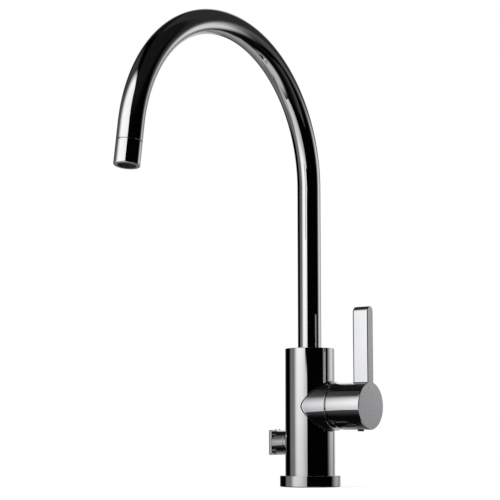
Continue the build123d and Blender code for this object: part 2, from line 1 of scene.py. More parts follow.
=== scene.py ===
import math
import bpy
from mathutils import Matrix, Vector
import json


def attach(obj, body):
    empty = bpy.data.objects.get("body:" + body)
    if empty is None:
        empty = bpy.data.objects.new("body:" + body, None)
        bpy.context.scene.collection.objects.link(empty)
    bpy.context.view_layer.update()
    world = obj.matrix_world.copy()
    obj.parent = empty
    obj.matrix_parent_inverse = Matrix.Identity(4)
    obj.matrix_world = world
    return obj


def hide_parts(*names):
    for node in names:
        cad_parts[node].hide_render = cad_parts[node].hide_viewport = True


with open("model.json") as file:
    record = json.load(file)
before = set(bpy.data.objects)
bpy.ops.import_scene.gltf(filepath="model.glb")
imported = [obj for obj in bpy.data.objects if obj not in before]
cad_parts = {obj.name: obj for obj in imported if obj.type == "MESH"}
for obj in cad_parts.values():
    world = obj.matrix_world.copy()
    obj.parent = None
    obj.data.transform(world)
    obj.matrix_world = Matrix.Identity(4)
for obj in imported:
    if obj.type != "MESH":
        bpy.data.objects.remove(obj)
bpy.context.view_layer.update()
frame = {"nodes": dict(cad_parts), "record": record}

# %% [markdown]
# A kitchen mixer tap: a round chromed column with a high swivelling spout, a lever at its side
# and a small shut-off knob low on the other side. Its pieces are already modelled to size and
# loaded as one fixed frame, so this lesson gives them their finishes, models the pieces whose
# polished surfaces need a finer shape, and lights the whole as a photographer would.

nodes = frame["nodes"]

# %% [markdown]
# The camera stands low, less than a hand above the worktop and nearly a metre and a half away. It
# is turned 36 degrees to the side, so that the spout comes towards it and the lever shows its
# broad side. A long lens keeps the tall column from leaning.

# %% Camera
camera_data = bpy.data.cameras.new("camera")
camera_data.sensor_width = 36.0
camera_data.lens = 107.09
camera_data.clip_end = 20.0
camera = bpy.data.objects.new("camera", camera_data)
bpy.context.scene.collection.objects.link(camera)
upward_tilt, sideways_turn = 0.1247, 0.6293
camera.location = (0.76886, -1.15023, 0.045706)
camera.rotation_euler = (math.radians(90) + upward_tilt, 0.0, sideways_turn)
bpy.context.scene.camera = camera
bpy.context.scene.view_settings.view_transform = "Standard"
print("camera: lens", camera_data.lens, "mm, from", tuple(round(v, 3) for v in camera.location))

# %% [markdown]
# Polished chrome has no colour of its own: what is seen on it is the studio around it. So the
# studio is worth as much care as the tap. It could be built from lamps and cards, but rounded
# metal mirrors all directions at once, and an even, noise-free studio is easier to draw as a
# world, by the direction that a ray leaves in. The small helpers below write such a world, and
# the materials after it, as short formulas.

# %% Helpers that write node formulas
def node(tree, kind, **settings):
    """Adds a node and sets its plain settings."""
    made = tree.nodes.new(kind)
    for key, value in settings.items():
        setattr(made, key, value)
    return made


def feed(tree, socket, value):
    """Gives a socket a number, a vector or another node's output."""
    if isinstance(value, bpy.types.NodeSocket):
        tree.links.new(value, socket)
    else:
        socket.default_value = value


def math_node(tree, operation, *values):
    """One arithmetic step."""
    made = node(tree, "ShaderNodeMath", operation=operation)
    for place, value in enumerate(values):
        feed(tree, made.inputs[place], value)
    return made.outputs[0]


def vector_node(tree, operation, *values):
    """One step with vectors, which gives a number or a vector."""
    made = node(tree, "ShaderNodeVectorMath", operation=operation)
    for place, value in enumerate(values):
        feed(tree, made.inputs[place], value)
    return made.outputs["Value" if operation in ("DOT_PRODUCT", "LENGTH") else "Vector"]


def times(tree, first, *others):
    """Several values multiplied."""
    for other in others:
        first = math_node(tree, "MULTIPLY", first, other)
    return first


def largest(tree, first, *others):
    """The largest of several values."""
    for other in others:
        first = math_node(tree, "MAXIMUM", first, other)
    return first


def remaining(tree, value):
    """What a value leaves of 1."""
    return math_node(tree, "SUBTRACT", 1.0, value)


def soft_step(tree, value, start, end, low=0.0, high=1.0):
    """A smooth change from low to high while the value goes from start to end."""
    made = node(tree, "ShaderNodeMapRange", interpolation_type="SMOOTHSTEP")
    feed(tree, made.inputs["Value"], value)
    for name, number in (("From Min", start), ("From Max", end), ("To Min", low), ("To Max", high)):
        feed(tree, made.inputs[name], number)
    return made.outputs["Result"]


print("helpers for numbers ready")

# %% [markdown]
# The far parts of the studio are a pale backdrop behind the tap, a weaker card right of it that
# reaches further down, and dim patches below. Overhead and on the camera's side it is nearly
# black. Each of these panels is a soft-edged patch of azimuth, counted from the camera to the
# right, and of elevation. For all that isn't polished, the world is plain white and even.

# %% Studio of light panels
world = bpy.data.worlds.new("studio")
bpy.context.scene.world = world
world.use_nodes = True
sky = world.node_tree
sky.nodes.clear()
direction = node(sky, "ShaderNodeTexCoord").outputs["Generated"]
towards_camera = Vector((0.5557, -0.8314, 0.0))
to_the_right = Vector((0.8314, 0.5557, 0.0))
upwards = Vector((0.0, 0.0, 1.0))


def along(axis):
    """How far the ray's direction goes along an axis."""
    return vector_node(sky, "DOT_PRODUCT", direction, axis)


azimuth = math_node(sky, "DEGREES", math_node(sky, "ARCTAN2", along(to_the_right), along(towards_camera)))
elevation = math_node(sky, "DEGREES", math_node(sky, "ARCSINE", along(upwards)))
either_side = math_node(sky, "ABSOLUTE", azimuth)


def panel(brightness, left, right, low, high, angle=azimuth):
    """A soft-edged patch; an edge is given as where its slope starts and where it ends."""
    sides = times(sky, soft_step(sky, angle, *left), soft_step(sky, angle, *right, 1.0, 0.0))
    levels = times(sky, soft_step(sky, elevation, *low), soft_step(sky, elevation, *high, 1.0, 0.0))
    return times(sky, sides, levels, brightness)


no_left, no_right = (-181, -180), (181, 182)
no_bottom, no_top = (-91, -90), (91, 92)
panels = [
    panel(0.95, (144, 170), no_right, (-6, 4), (26, 48), either_side),
    panel(0.62, (134, 152), no_right, (-36, -2), (4, 15)),
    panel(0.30, (140, 156), no_right, (-60, -50), (8, 26)),
    panel(0.16, (100, 116), no_right, (-66, -60), (-18, -12), either_side),
    panel(0.20, no_left, (-84, -76), (-50, -40), (-22, -8)),
    panel(0.40, no_left, (0, 16), no_bottom, (-68, -60)),
    panel(0.34, (84, 100), no_right, no_bottom, (-70, -56)),
    panel(0.009, no_left, no_right, (20, 40), no_top),
    panel(0.03, (92, 108), no_right, (8, 18), no_top),
]
darkest_glow = 0.0006
glow = largest(sky, darkest_glow, *panels)
print("studio:", len(panels), "light panels")

# %% [markdown]
# A ray that was mirrored gets the panels, the camera's own view of the world is pure white, and
# what the world sheds on matt surfaces is three quarters of that.

# %% World's output
fill_light = 0.75
light_path = node(sky, "ShaderNodeLightPath")
reflected = largest(sky, light_path.outputs["Is Glossy Ray"], light_path.outputs["Is Transmission Ray"])
seen = light_path.outputs["Is Camera Ray"]
plain = math_node(sky, "ADD", seen, times(sky, remaining(sky, seen), fill_light))
strength = math_node(sky, "ADD", times(sky, reflected, glow), times(sky, remaining(sky, reflected), plain))
background = node(sky, "ShaderNodeBackground")
background.inputs["Color"].default_value = (1.0, 1.0, 1.0, 1.0)
sky.links.new(strength, background.inputs["Strength"])
sky.links.new(background.outputs[0], node(sky, "ShaderNodeOutputWorld").inputs["Surface"])
print("world:", len(sky.nodes), "nodes")

# %% [markdown]
# The floor and the cards that follow are materials that show one thing to the camera and another
# to polished metal. Four more helpers make such a material from its parts.

# %% Helpers that build a glowing material
def empty_material(name):
    """A material without nodes, and its tree."""
    material = bpy.data.materials.new(name)
    material.use_nodes = True
    material.node_tree.nodes.clear()
    return material, material.node_tree


def own_place(tree):
    """The place in the piece's own coordinates, in metres."""
    return node(tree, "ShaderNodeTexCoord").outputs["Object"]


def glow_shader(tree, brightness):
    """A glow of some brightness."""
    made = node(tree, "ShaderNodeEmission")
    feed(tree, made.inputs["Strength"], brightness)
    return made.outputs[0]


def clear_shader(tree):
    """Nothing at all: what lies behind is seen."""
    return node(tree, "ShaderNodeBsdfTransparent").outputs[0]


def mix_shaders(tree, factor, first, second):
    """The first shader where the factor is 0, and the second where it is 1."""
    made = node(tree, "ShaderNodeMixShader")
    for place, value in enumerate((factor, first, second)):
        feed(tree, made.inputs[place], value)
    return made.outputs[0]


print("helpers for glowing materials ready")

# %% [markdown]
# The floor is a plain pale disc. It is white to the camera and takes the tap's soft shadow. In
# polished metal it shows as a glossy dark table top, which mirrors the studio where it is seen at
# a flat angle. A real table also picks up some light: it is lighter straight below a piece, pale
# at the left behind the tap, and lighter again further out at the right and at the back.

# %% Table in reflections
def table_top(tree):
    """How much of the table a reflection shows, and how light the table is there."""
    place = own_place(tree)
    split = node(tree, "ShaderNodeSeparateXYZ")
    tree.links.new(place, split.inputs[0])
    across, back = split.outputs["X"], split.outputs["Y"]
    flatness = node(tree, "ShaderNodeLayerWeight").outputs["Facing"]

    # the table ends a little left of the tap and short of the spout's outlet
    under_tap = times(tree, soft_step(tree, across, -0.090, -0.084), soft_step(tree, back, -0.226, -0.220))
    left_behind = times(tree, soft_step(tree, across, 0.05, -0.04), soft_step(tree, back, -0.02, 0.04))
    cover = times(tree, largest(tree, under_tap, left_behind), soft_step(tree, flatness, 0.95, 0.78))

    straight_below = soft_step(tree, flatness, 0.12, 0.02, 0.002, 0.58)
    dim = soft_step(tree, flatness, 0.3, 0.75, 0.003, 0.07)
    pale = times(tree, left_behind, soft_step(tree, across, -0.5, 0.0, 0.16, 0.40))
    outside = largest(tree, soft_step(tree, across, 0.04, 0.12), soft_step(tree, back, 0.04, 0.12))
    not_too_far = soft_step(tree, vector_node(tree, "LENGTH", place), 0.9, 0.7)
    flat_enough = soft_step(tree, flatness, 0.62, 0.72)
    further_out = times(tree, not_too_far, flat_enough, outside,
                        soft_step(tree, across, -0.1, 0.35, 0.16, 0.62))
    return cover, largest(tree, straight_below, dim, pale, further_out)


print("table ready")

# %% [markdown]
# The floor's own look is a matt grey with hardly visible clouds. A little glow for the camera
# alone lifts it to the white of the background, and its shadow stays.

# %% Floor
def pale_floor():
    """White with a light shadow to the camera, and the table top to polished metal."""
    material, tree = empty_material("pale_floor")
    cloud_size, camera_lift = 9.0, 0.65
    cloud = node(tree, "ShaderNodeTexNoise")
    cloud.inputs["Scale"].default_value = cloud_size
    tree.links.new(own_place(tree), cloud.inputs["Vector"])
    matt = node(tree, "ShaderNodeBsdfDiffuse")
    tree.links.new(soft_step(tree, cloud.outputs["Fac"], 0.3, 0.7, 0.50, 0.52), matt.inputs["Color"])
    path = node(tree, "ShaderNodeLightPath")
    lifted = node(tree, "ShaderNodeAddShader")
    tree.links.new(matt.outputs[0], lifted.inputs[0])
    tree.links.new(glow_shader(tree, times(tree, path.outputs["Is Camera Ray"], camera_lift)), lifted.inputs[1])
    cover, lightness = table_top(tree)
    table = mix_shaders(tree, cover, clear_shader(tree), glow_shader(tree, lightness))
    shown = mix_shaders(tree, path.outputs["Is Glossy Ray"], lifted.outputs[0], table)
    tree.links.new(shown, node(tree, "ShaderNodeOutputMaterial").inputs["Surface"])
    return material


floor_radius, floor_level = 1.2, -0.0002
bpy.ops.object.select_all(action="DESELECT")
bpy.ops.mesh.primitive_circle_add(vertices=96, radius=floor_radius, fill_type="NGON",
                                  location=(0.0, 0.0, floor_level))
floor = bpy.context.active_object
floor.name = "floor"
floor.data.materials.append(pale_floor())
print("floor: radius", floor_radius, "m")

# %% [markdown]
# The main light is a tall white wall to the left, and a lower pale card stands behind the tap on
# the right. Both are so near that each piece sees their edges in another direction. That can't be
# drawn in the world, which is endlessly far away, so they are upright cards that glow for
# reflections only. The helpers make such a card and measure how far along it a point lies.

# %% Helpers for cards
def card_material(name, pattern):
    """A glow that only polished surfaces see; the pattern gets the tree and gives the brightness."""
    material, tree = empty_material(name)
    mirrored = node(tree, "ShaderNodeLightPath").outputs["Is Glossy Ray"]
    shown = mix_shaders(tree, mirrored, clear_shader(tree), glow_shader(tree, pattern(tree)))
    tree.links.new(shown, node(tree, "ShaderNodeOutputMaterial").inputs["Surface"])
    return material


def card_place(tree, start, way):
    """How far along the card from its start point a place lies, and its height."""
    place = own_place(tree)
    reach = vector_node(tree, "DOT_PRODUCT", vector_node(tree, "SUBTRACT", place, start), way)
    split = node(tree, "ShaderNodeSeparateXYZ")
    tree.links.new(place, split.inputs[0])
    return reach, split.outputs["Z"]


def stand_card(name, start, way, sides, levels, material):
    """An upright card from one side to the other and from its lower to its upper level."""
    bpy.ops.object.select_all(action="DESELECT")
    middle = start + way * sum(sides) / 2 + Vector((0.0, 0.0, sum(levels) / 2))
    bpy.ops.mesh.primitive_plane_add(size=1.0, location=middle,
                                     rotation=(math.radians(90), 0.0, math.atan2(way.y, way.x)))
    card = bpy.context.active_object
    card.name = name
    card.scale = (sides[1] - sides[0], levels[1] - levels[0], 1.0)
    bpy.ops.object.transform_apply(location=True, rotation=True, scale=True)
    card.data.materials.append(material)
    card.visible_diffuse = False
    card.visible_shadow = False
    print(name + ":", round(sides[1] - sides[0], 3), "m long")


print("helpers for cards ready")

# %% [markdown]
# The wall's glow starts softly at its far end, along a line that leans back with height, and is
# strongest above the tap's foot. A dim strip lies past its start and ends high up, and a dark
# flag stands before its near end.

# %% Light wall
wall_start = Vector((-0.321, -0.362, 0.0))
wall_way = Vector((0.921, -1.205, 0.0)).normalized()


def wall_pattern(tree):
    """The wall's brightness, by the way along it and the height."""
    along_wall, height = card_place(tree, wall_start, wall_way)
    above = math_node(tree, "MAXIMUM", math_node(tree, "SUBTRACT", height, 0.25), 0.0)
    leaning_back = times(tree, math_node(tree, "POWER", above, 2.0), 0.64)
    arched = math_node(tree, "SUBTRACT", along_wall, leaning_back)
    arched = math_node(tree, "ADD", arched, soft_step(tree, height, 0.30, 0.03, 0.0, 0.03))
    dawn = soft_step(tree, arched, -0.06, 0.19)
    level = soft_step(tree, height, -0.08, 0.26, 0.74, 1.20)
    fading = times(tree, soft_step(tree, along_wall, 0.2, 1.2), soft_step(tree, height, 0.2, 0.5, 0.38, 0.12))
    full = times(tree, dawn, level, remaining(tree, fading))
    strip = math_node(tree, "ADD", soft_step(tree, height, 0.15, 0.65, 0.19, 0.05),
                      soft_step(tree, height, -0.15, 0.0, 0.26, 0.0))
    strip = times(tree, soft_step(tree, along_wall, -0.28, -0.16), strip,
                  soft_step(tree, height, 0.75, 1.05, 1.0, 0.0))
    flag = times(tree, soft_step(tree, height, 0.15, 0.20), soft_step(tree, height, 0.50, 0.62, 1.0, 0.0),
                 soft_step(tree, along_wall, 0.88, 0.98))
    return times(tree, largest(tree, full, strip), remaining(tree, flag))


stand_card("light_wall", wall_start, wall_way, sides=(-0.28, 1.517), levels=(-2.0, 2.0),
           material=card_material("wall_light", wall_pattern))

# %% [markdown]
# The card on the right is lower than the spout. Its glow comes up from the right end over a slope
# that is longer near the floor, with a faint fringe before it high up, and fades where the card is
# seen at a slant. It gives the column, the spout and the lever their soft right edges.

# %% Right card
card_start = Vector((0.220, 0.381, 0.0))
card_way = Vector((-0.866, 0.500, 0.0)).normalized()


def card_pattern(tree):
    """The right card's brightness, by the way along it and the height."""
    along_card, height = card_place(tree, card_start, card_way)
    start = soft_step(tree, height, 0.12, 0.26, -0.30, -0.24)
    end = soft_step(tree, height, 0.12, 0.26, 0.0, -0.03)
    rise = soft_step(tree, along_card, start, end, 0.0, 0.78)
    dip = soft_step(tree, along_card, 0.06, 0.15, 1.0, 0.5)
    level = times(tree, soft_step(tree, height, -0.04, 0.16, 0.54, 1.0),
                  soft_step(tree, height, 0.36, 0.52, 1.0, 0.0))
    full = times(tree, rise, dip, level)
    fringe = times(tree, soft_step(tree, along_card, -0.30, -0.23, 0.0, 0.07),
                   soft_step(tree, height, 0.15, 0.28))
    slant = node(tree, "ShaderNodeLayerWeight").outputs["Facing"]
    return times(tree, largest(tree, full, fringe), soft_step(tree, slant, 0.04, 0.215, 1.0, 0.0))


stand_card("right_card", card_start, card_way, sides=(-0.36, 0.20), levels=(-0.3, 0.53),
           material=card_material("card_light", card_pattern))

# %% [markdown]
# One broad, soft lamp high on the left models the few matt pieces. The metal doesn't mirror it,
# because it sees the wall instead.

# %% Lamp
lamp_data = bpy.data.lights.new("softbox", "AREA")
lamp_data.shape = "RECTANGLE"
lamp_data.size = 1.2
lamp_data.size_y = 1.6
lamp_data.energy = 12.0
lamp = bpy.data.objects.new("softbox", lamp_data)
bpy.context.scene.collection.objects.link(lamp)
middle_of_tap = Vector((0.0, 0.0, 0.2))
lamp.location = (-0.9, -1.3, 1.3)
lamp.rotation_euler = (middle_of_tap - lamp.location).to_track_quat("-Z", "Y").to_euler()
lamp.visible_glossy = False
print("lamp:", lamp_data.energy, "W")

# %% [markdown]
# Each finish is one material. A finish could be painted on by hand, but noise that is worked out
# from the pieces' own coordinates, in metres, gives its detail a real size on every piece. The
# helpers vary the colour and the polish with such noise, and raise a small relief.

# %% Helpers for finishes
def surface(name, color, metallic, roughness):
    """A new material with its main shader set."""
    material = bpy.data.materials.new(name)
    material.use_nodes = True
    tree = material.node_tree
    shader = tree.nodes["Principled BSDF"]
    shader.inputs["Base Color"].default_value = (*color, 1.0)
    shader.inputs["Metallic"].default_value = metallic
    shader.inputs["Roughness"].default_value = roughness
    return material, tree, shader


def grain(tree, scale, detail=2.0, stretch=(1.0, 1.0, 1.0)):
    """Noise in the piece's own coordinates."""
    mapping = node(tree, "ShaderNodeMapping")
    mapping.inputs["Scale"].default_value = stretch
    tree.links.new(own_place(tree), mapping.inputs["Vector"])
    noise = node(tree, "ShaderNodeTexNoise")
    noise.inputs["Scale"].default_value = scale
    noise.inputs["Detail"].default_value = detail
    tree.links.new(mapping.outputs["Vector"], noise.inputs["Vector"])
    return noise.outputs["Fac"]


def tint(tree, shader, value, dark, light):
    """Lets the colour vary between two shades."""
    mix = node(tree, "ShaderNodeMix", data_type="RGBA")
    tree.links.new(soft_step(tree, value, 0.3, 0.7), mix.inputs["Factor"])
    mix.inputs["A"].default_value = (*dark, 1.0)
    mix.inputs["B"].default_value = (*light, 1.0)
    tree.links.new(mix.outputs["Result"], shader.inputs["Base Color"])


def polish(tree, shader, value, finest, roughest, spread=(0.3, 0.7)):
    """Lets the roughness vary between two amounts."""
    tree.links.new(soft_step(tree, value, *spread, finest, roughest), shader.inputs["Roughness"])


def relief(tree, shader, value, strength, distance):
    """A small bump."""
    bump = node(tree, "ShaderNodeBump")
    bump.inputs["Strength"].default_value = strength
    bump.inputs["Distance"].default_value = distance
    tree.links.new(value, bump.inputs["Height"])
    tree.links.new(bump.outputs["Normal"], shader.inputs["Normal"])


print("helpers for finishes ready")

# %% [markdown]
# The tap's outside is polished chrome plating with a faint unevenness. The lever's flat end face
# is brushed to a satin grey. The seam between the column and its stub gets a dark metal as painted
# shade, for the dark line that the rounded seam mirrors. Each is the same metal shader with other
# shades and another polish.

# %% Chrome, satin and painted seam shade
def chrome():
    """Bright plating, hardly uneven."""
    material, tree, shader = surface("chrome", (0.78, 0.785, 0.80), 1.0, 0.04)
    tint(tree, shader, grain(tree, 55.0, 3.0), (0.765, 0.77, 0.785), (0.795, 0.80, 0.815))
    polish(tree, shader, grain(tree, 420.0, 4.0), 0.018, 0.03, spread=(0.35, 0.65))
    return material


def satin_chrome():
    """The same plating on a brushed face."""
    material, tree, shader = surface("satin_chrome", (0.52, 0.52, 0.54), 1.0, 0.2)
    tint(tree, shader, grain(tree, 900.0, 4.0), (0.47, 0.47, 0.49), (0.56, 0.56, 0.58))
    polish(tree, shader, grain(tree, 1400.0, 3.0), 0.16, 0.26)
    relief(tree, shader, grain(tree, 2400.0, 2.0), 0.12, 0.00003)
    return material


def painted_seam_shade():
    """Painted shade: dull dark metal along the seam, for the dark line seen there."""
    material, tree, shader = surface("painted_seam_shade", (0.06, 0.06, 0.065), 1.0, 0.35)
    tint(tree, shader, grain(tree, 800.0, 3.0), (0.045, 0.045, 0.05), (0.08, 0.08, 0.085))
    relief(tree, shader, grain(tree, 2600.0), 0.2, 0.00004)
    return material


finishes = {"chrome": chrome(), "satin_chrome": satin_chrome(), "painted_seam_shade": painted_seam_shade()}
print("finishes:", ", ".join(finishes))

# %% [markdown]
# The pieces inside are machined brass and steel. A cutting tool leaves marks that run round them,
# so their noise is stretched: many marks lie along the axis, and each is long across it.

# %% Brass and steel
def brass():
    """Turned brass."""
    material, tree, shader = surface("brass", (0.72, 0.55, 0.28), 1.0, 0.3)
    tint(tree, shader, grain(tree, 240.0, 4.0), (0.64, 0.47, 0.22), (0.78, 0.60, 0.33))
    turning = grain(tree, 60.0, 2.0, (0.5, 0.5, 60.0))
    polish(tree, shader, turning, 0.22, 0.40)
    relief(tree, shader, turning, 0.25, 0.0001)
    return material


def steel():
    """Turned steel of the screws."""
    material, tree, shader = surface("steel", (0.62, 0.62, 0.63), 1.0, 0.28)
    tint(tree, shader, grain(tree, 300.0, 3.0), (0.56, 0.56, 0.575), (0.67, 0.67, 0.68))
    turning = grain(tree, 90.0, 2.0, (30.0, 1.0, 1.0))
    polish(tree, shader, turning, 0.2, 0.36)
    relief(tree, shader, turning, 0.2, 0.00008)
    return material


finishes.update(brass=brass(), steel=steel())
print("finishes:", ", ".join(finishes))

# %% [markdown]
# Seals are black rubber with a soft bloom, the valve discs are ground ceramic, and the cartridge
# and the outlet's inner parts are moulded plastic with a fine grain.

# %% Rubber, ceramic and plastic
def rubber():
    """Matt black rubber."""
    material, tree, shader = surface("rubber", (0.03, 0.03, 0.03), 0.0, 0.6)
    tint(tree, shader, grain(tree, 500.0, 4.0), (0.022, 0.022, 0.022), (0.042, 0.042, 0.041))
    relief(tree, shader, grain(tree, 2600.0), 0.2, 0.00006)
    return material


def ceramic():
    """White ground ceramic."""
    material, tree, shader = surface("ceramic", (0.85, 0.84, 0.80), 0.0, 0.12)
    tint(tree, shader, grain(tree, 700.0, 3.0), (0.82, 0.81, 0.77), (0.88, 0.87, 0.83))
    polish(tree, shader, grain(tree, 900.0), 0.08, 0.18)
    return material


def moulded(name, dark, light):
    """Moulded plastic between two shades."""
    material, tree, shader = surface(name, light, 0.0, 0.42)
    tint(tree, shader, grain(tree, 350.0, 4.0), dark, light)
    polish(tree, shader, grain(tree, 1500.0), 0.36, 0.5)
    relief(tree, shader, grain(tree, 3200.0), 0.15, 0.00005)
    return material


finishes.update(
    rubber=rubber(),
    ceramic=ceramic(),
    cartridge_plastic=moulded("cartridge_plastic", (0.52, 0.53, 0.55), (0.58, 0.59, 0.61)),
    dark_plastic=moulded("dark_plastic", (0.042, 0.042, 0.047), (0.06, 0.06, 0.065)),
)
print("finishes:", ", ".join(finishes))

# %% [markdown]
# Every loaded piece already says which finish it wants, so it only has to be looked up.

# %% Dress the loaded pieces
slot_of = {row["node"]: row["material_slot"] for row in frame["record"]["subparts"]}
for name, piece in nodes.items():
    piece.data.materials.clear()
    piece.data.materials.append(finishes[slot_of[name]])
print("dressed:", len(nodes), "pieces")

# %% [markdown]
# A loaded piece is good in shape, but its round faces are cut into coarse strips, which mirror
# polish would show. So the polished pieces are modelled again, each from one primitive at its
# size and place, with many more sides. Everything is deselected before a piece is begun, and
# faces and edges are chosen by where they lie. Sizes are in millimetres.

# %% Helpers for modelling
import bmesh

mm = 0.001
sharp_angle = 35


def begin(primitive, name, **settings):
    """Adds a primitive alone in the selection and moves its place into its mesh."""
    if bpy.context.mode == "EDIT_MESH":
        bpy.ops.object.mode_set(mode="OBJECT")
    bpy.ops.object.select_all(action="DESELECT")
    primitive(**settings)
    piece = bpy.context.active_object
    piece.name = name
    bpy.ops.object.transform_apply(location=True, rotation=True, scale=True)
    bpy.ops.object.mode_set(mode="EDIT")
    return piece


def cylinder(name, sides, radius, start, end, height=None):
    """An upright cylinder from start to end on the tap's axis, or one that lies at a height."""
    middle = (start + end) / 2
    place, turned = (0, 0, middle * mm), (0, 0, 0)
    if height is not None:
        place, turned = (middle * mm, 0, height * mm), (0, math.pi / 2, 0)
    return begin(bpy.ops.mesh.primitive_cylinder_add, name, vertices=sides, radius=radius * mm,
                 depth=(end - start) * mm, location=place, rotation=turned, end_fill_type="NGON")


def choose(piece, faces=None, edges=None):
    """Selects faces or edges by a test of their middle, and of a face's normal or the edge itself."""
    bpy.ops.mesh.select_mode(type="FACE" if faces else "EDGE")
    bpy.ops.mesh.select_all(action="DESELECT")
    mesh = bmesh.from_edit_mesh(piece.data)
    if faces:
        for face in mesh.faces:
            face.select_set(bool(faces(face.calc_center_median() / mm, face.normal)))
    if edges:
        for edge in mesh.edges:
            edge.select_set(bool(edges((edge.verts[0].co + edge.verts[1].co) / 2 / mm, edge)))
    bmesh.update_edit_mesh(piece.data)


def is_level(edge, axis):
    """True for an edge whose two ends lie equally far along an axis."""
    first, second = (getattr(corner.co, axis) for corner in edge.verts)
    return abs(first - second) < 1e-7


def push(x=0.0, y=0.0, z=0.0):
    """Extrudes what is selected along a way."""
    bpy.ops.mesh.extrude_region_move(TRANSFORM_OT_translate={"value": (x * mm, y * mm, z * mm)})


def inset(width):
    """Insets the selected faces, or widens them where the width is below zero."""
    bpy.ops.mesh.inset(thickness=width * mm)


def soften(width, segments):
    """Rounds the selected edges."""
    bpy.ops.mesh.bevel(offset=width * mm, offset_type="OFFSET", segments=segments, profile=0.5, affect="EDGES")


print("helpers for shaping ready")

# %% [markdown]
# Some shapes are cut or put together from several primitives, and every finished piece is shaded,
# gets its finish and rides on its body. The finished piece stands for the loaded one, which is
# then hidden.

# %% Helpers for putting together
def carve(piece, tool, operation="DIFFERENCE"):
    """Cuts a tool's shape out of a piece, or unites them, and removes the tool."""
    bpy.ops.object.mode_set(mode="OBJECT")
    cut = piece.modifiers.new("cut", "BOOLEAN")
    cut.operation = operation
    cut.solver = "EXACT"
    cut.object = tool
    bpy.ops.object.select_all(action="DESELECT")
    bpy.context.view_layer.objects.active = piece
    piece.select_set(True)
    bpy.ops.object.modifier_apply(modifier=cut.name)
    bpy.data.objects.remove(tool)


def join(piece, *others):
    """Makes several shells one piece."""
    bpy.ops.object.mode_set(mode="OBJECT")
    bpy.ops.object.select_all(action="DESELECT")
    for each in (piece, *others):
        each.select_set(True)
    bpy.context.view_layer.objects.active = piece
    bpy.ops.object.join()


def complete(piece, body, node_names, finish="chrome"):
    """Shades a piece, gives it its finish and lets it stand for its nodes."""
    bpy.ops.object.mode_set(mode="OBJECT")
    bpy.ops.object.select_all(action="DESELECT")
    piece.select_set(True)
    bpy.context.view_layer.objects.active = piece
    bpy.ops.object.shade_smooth_by_angle(angle=math.radians(sharp_angle))
    weighted = piece.modifiers.new("flat faces stay flat", "WEIGHTED_NORMAL")
    weighted.keep_sharp = True
    bpy.ops.object.modifier_apply(modifier=weighted.name)
    piece.data.materials.clear()
    piece.data.materials.append(finishes[finish])
    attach(piece, body)
    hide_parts(*node_names)
    print(piece.name + ":", len(piece.data.polygons), "faces")


def second_finish(piece, finish, faces):
    """Gives some faces of a piece another finish."""
    piece.data.materials.append(finishes[finish])
    for face in faces:
        face.material_index = 1


print("helpers for putting together ready")

# %% [markdown]
# The foot ring is a low disc with a fine bevel, hollow in the middle, with a groove below for its
# seal. It starts as a cylinder, whose lower face is inset and pushed in twice.

# %% Foot ring
foot_radius, foot_bevel, foot_bore = 28, 0.4, 20
groove_inner, groove_outer, groove_depth = 22.55, 26.65, 2.0
foot = cylinder("foot_ring", 256, foot_radius, 0.3, 10.2)
choose(foot, edges=lambda at, edge: is_level(edge, "z"))
soften(foot_bevel, 3)
choose(foot, faces=lambda at, normal: normal.z < -0.99 and at.xy.length < 1)
inset(foot_radius - foot_bevel - groove_outer)
inset(groove_outer - groove_inner)
choose(foot, faces=lambda at, normal: normal.z < -0.99 and groove_inner < at.xy.length < groove_outer)
push(z=groove_depth)
choose(foot, faces=lambda at, normal: normal.z < -0.99 and at.xy.length < 1)
inset(groove_inner - foot_bore)
push(z=8.0)
complete(foot, "tap_body", ["base_flange"])

# %% [markdown]
# The column is a tall cylinder with a fine bevel at its top, where it is open for the spout. A
# small hole at the back takes the screw that holds the spout.

# %% Column
column_radius, column_top, column_bevel = 23, 126.5, 0.4
spout_opening = 13.15
column = cylinder("column", 256, column_radius, 10.2, column_top)
choose(column, edges=lambda at, edge: at.z > column_top - 0.5 and is_level(edge, "z"))
soften(column_bevel, 3)
choose(column, faces=lambda at, normal: normal.z > 0.99 and at.xy.length < 1)
inset(column_radius - column_bevel - spout_opening)
push(z=-6.5)

drill = begin(bpy.ops.mesh.primitive_cylinder_add, "drill", vertices=64, radius=2.05 * mm, depth=9 * mm,
              location=(0, 20.5 * mm, 105 * mm), rotation=(math.pi / 2, 0, 0), end_fill_type="NGON")
carve(column, drill)
print("column: radius", column_radius, "mm, top at", column_top, "mm")

# %% [markdown]
# The side stub is a second cylinder that runs into the column. Its end is hollow, where the cover
# screws in. On the other side stands the round pad and boss of the shut-off valve, whose end is
# pushed in for the valve's bonnet.

# %% Stub, pad and boss
hub_height, stub_radius, stub_bevel, cover_thread = 73, 22, 0.35, 19.5
stub = cylinder("stub", 256, stub_radius, 0, 29.7, height=hub_height)
choose(stub, edges=lambda at, edge: at.x > 29 and is_level(edge, "x"))
soften(stub_bevel, 3)
choose(stub, faces=lambda at, normal: normal.x > 0.99 and abs(at.y) < 1)
inset(stub_radius - stub_bevel - cover_thread)
push(x=-5.7)

knob_height, knob_radius, boss_radius, bonnet_radius = 40.2, 11.2, 8.2, 6.15
boss = cylinder("boss", 192, knob_radius, -23, -15, height=knob_height)
choose(boss, faces=lambda at, normal: normal.x < -0.99)
inset(knob_radius - boss_radius)
push(x=-3)
inset(boss_radius - bonnet_radius)
push(x=4)
print("stub: radius", stub_radius, "mm; pad: radius", knob_radius, "mm")
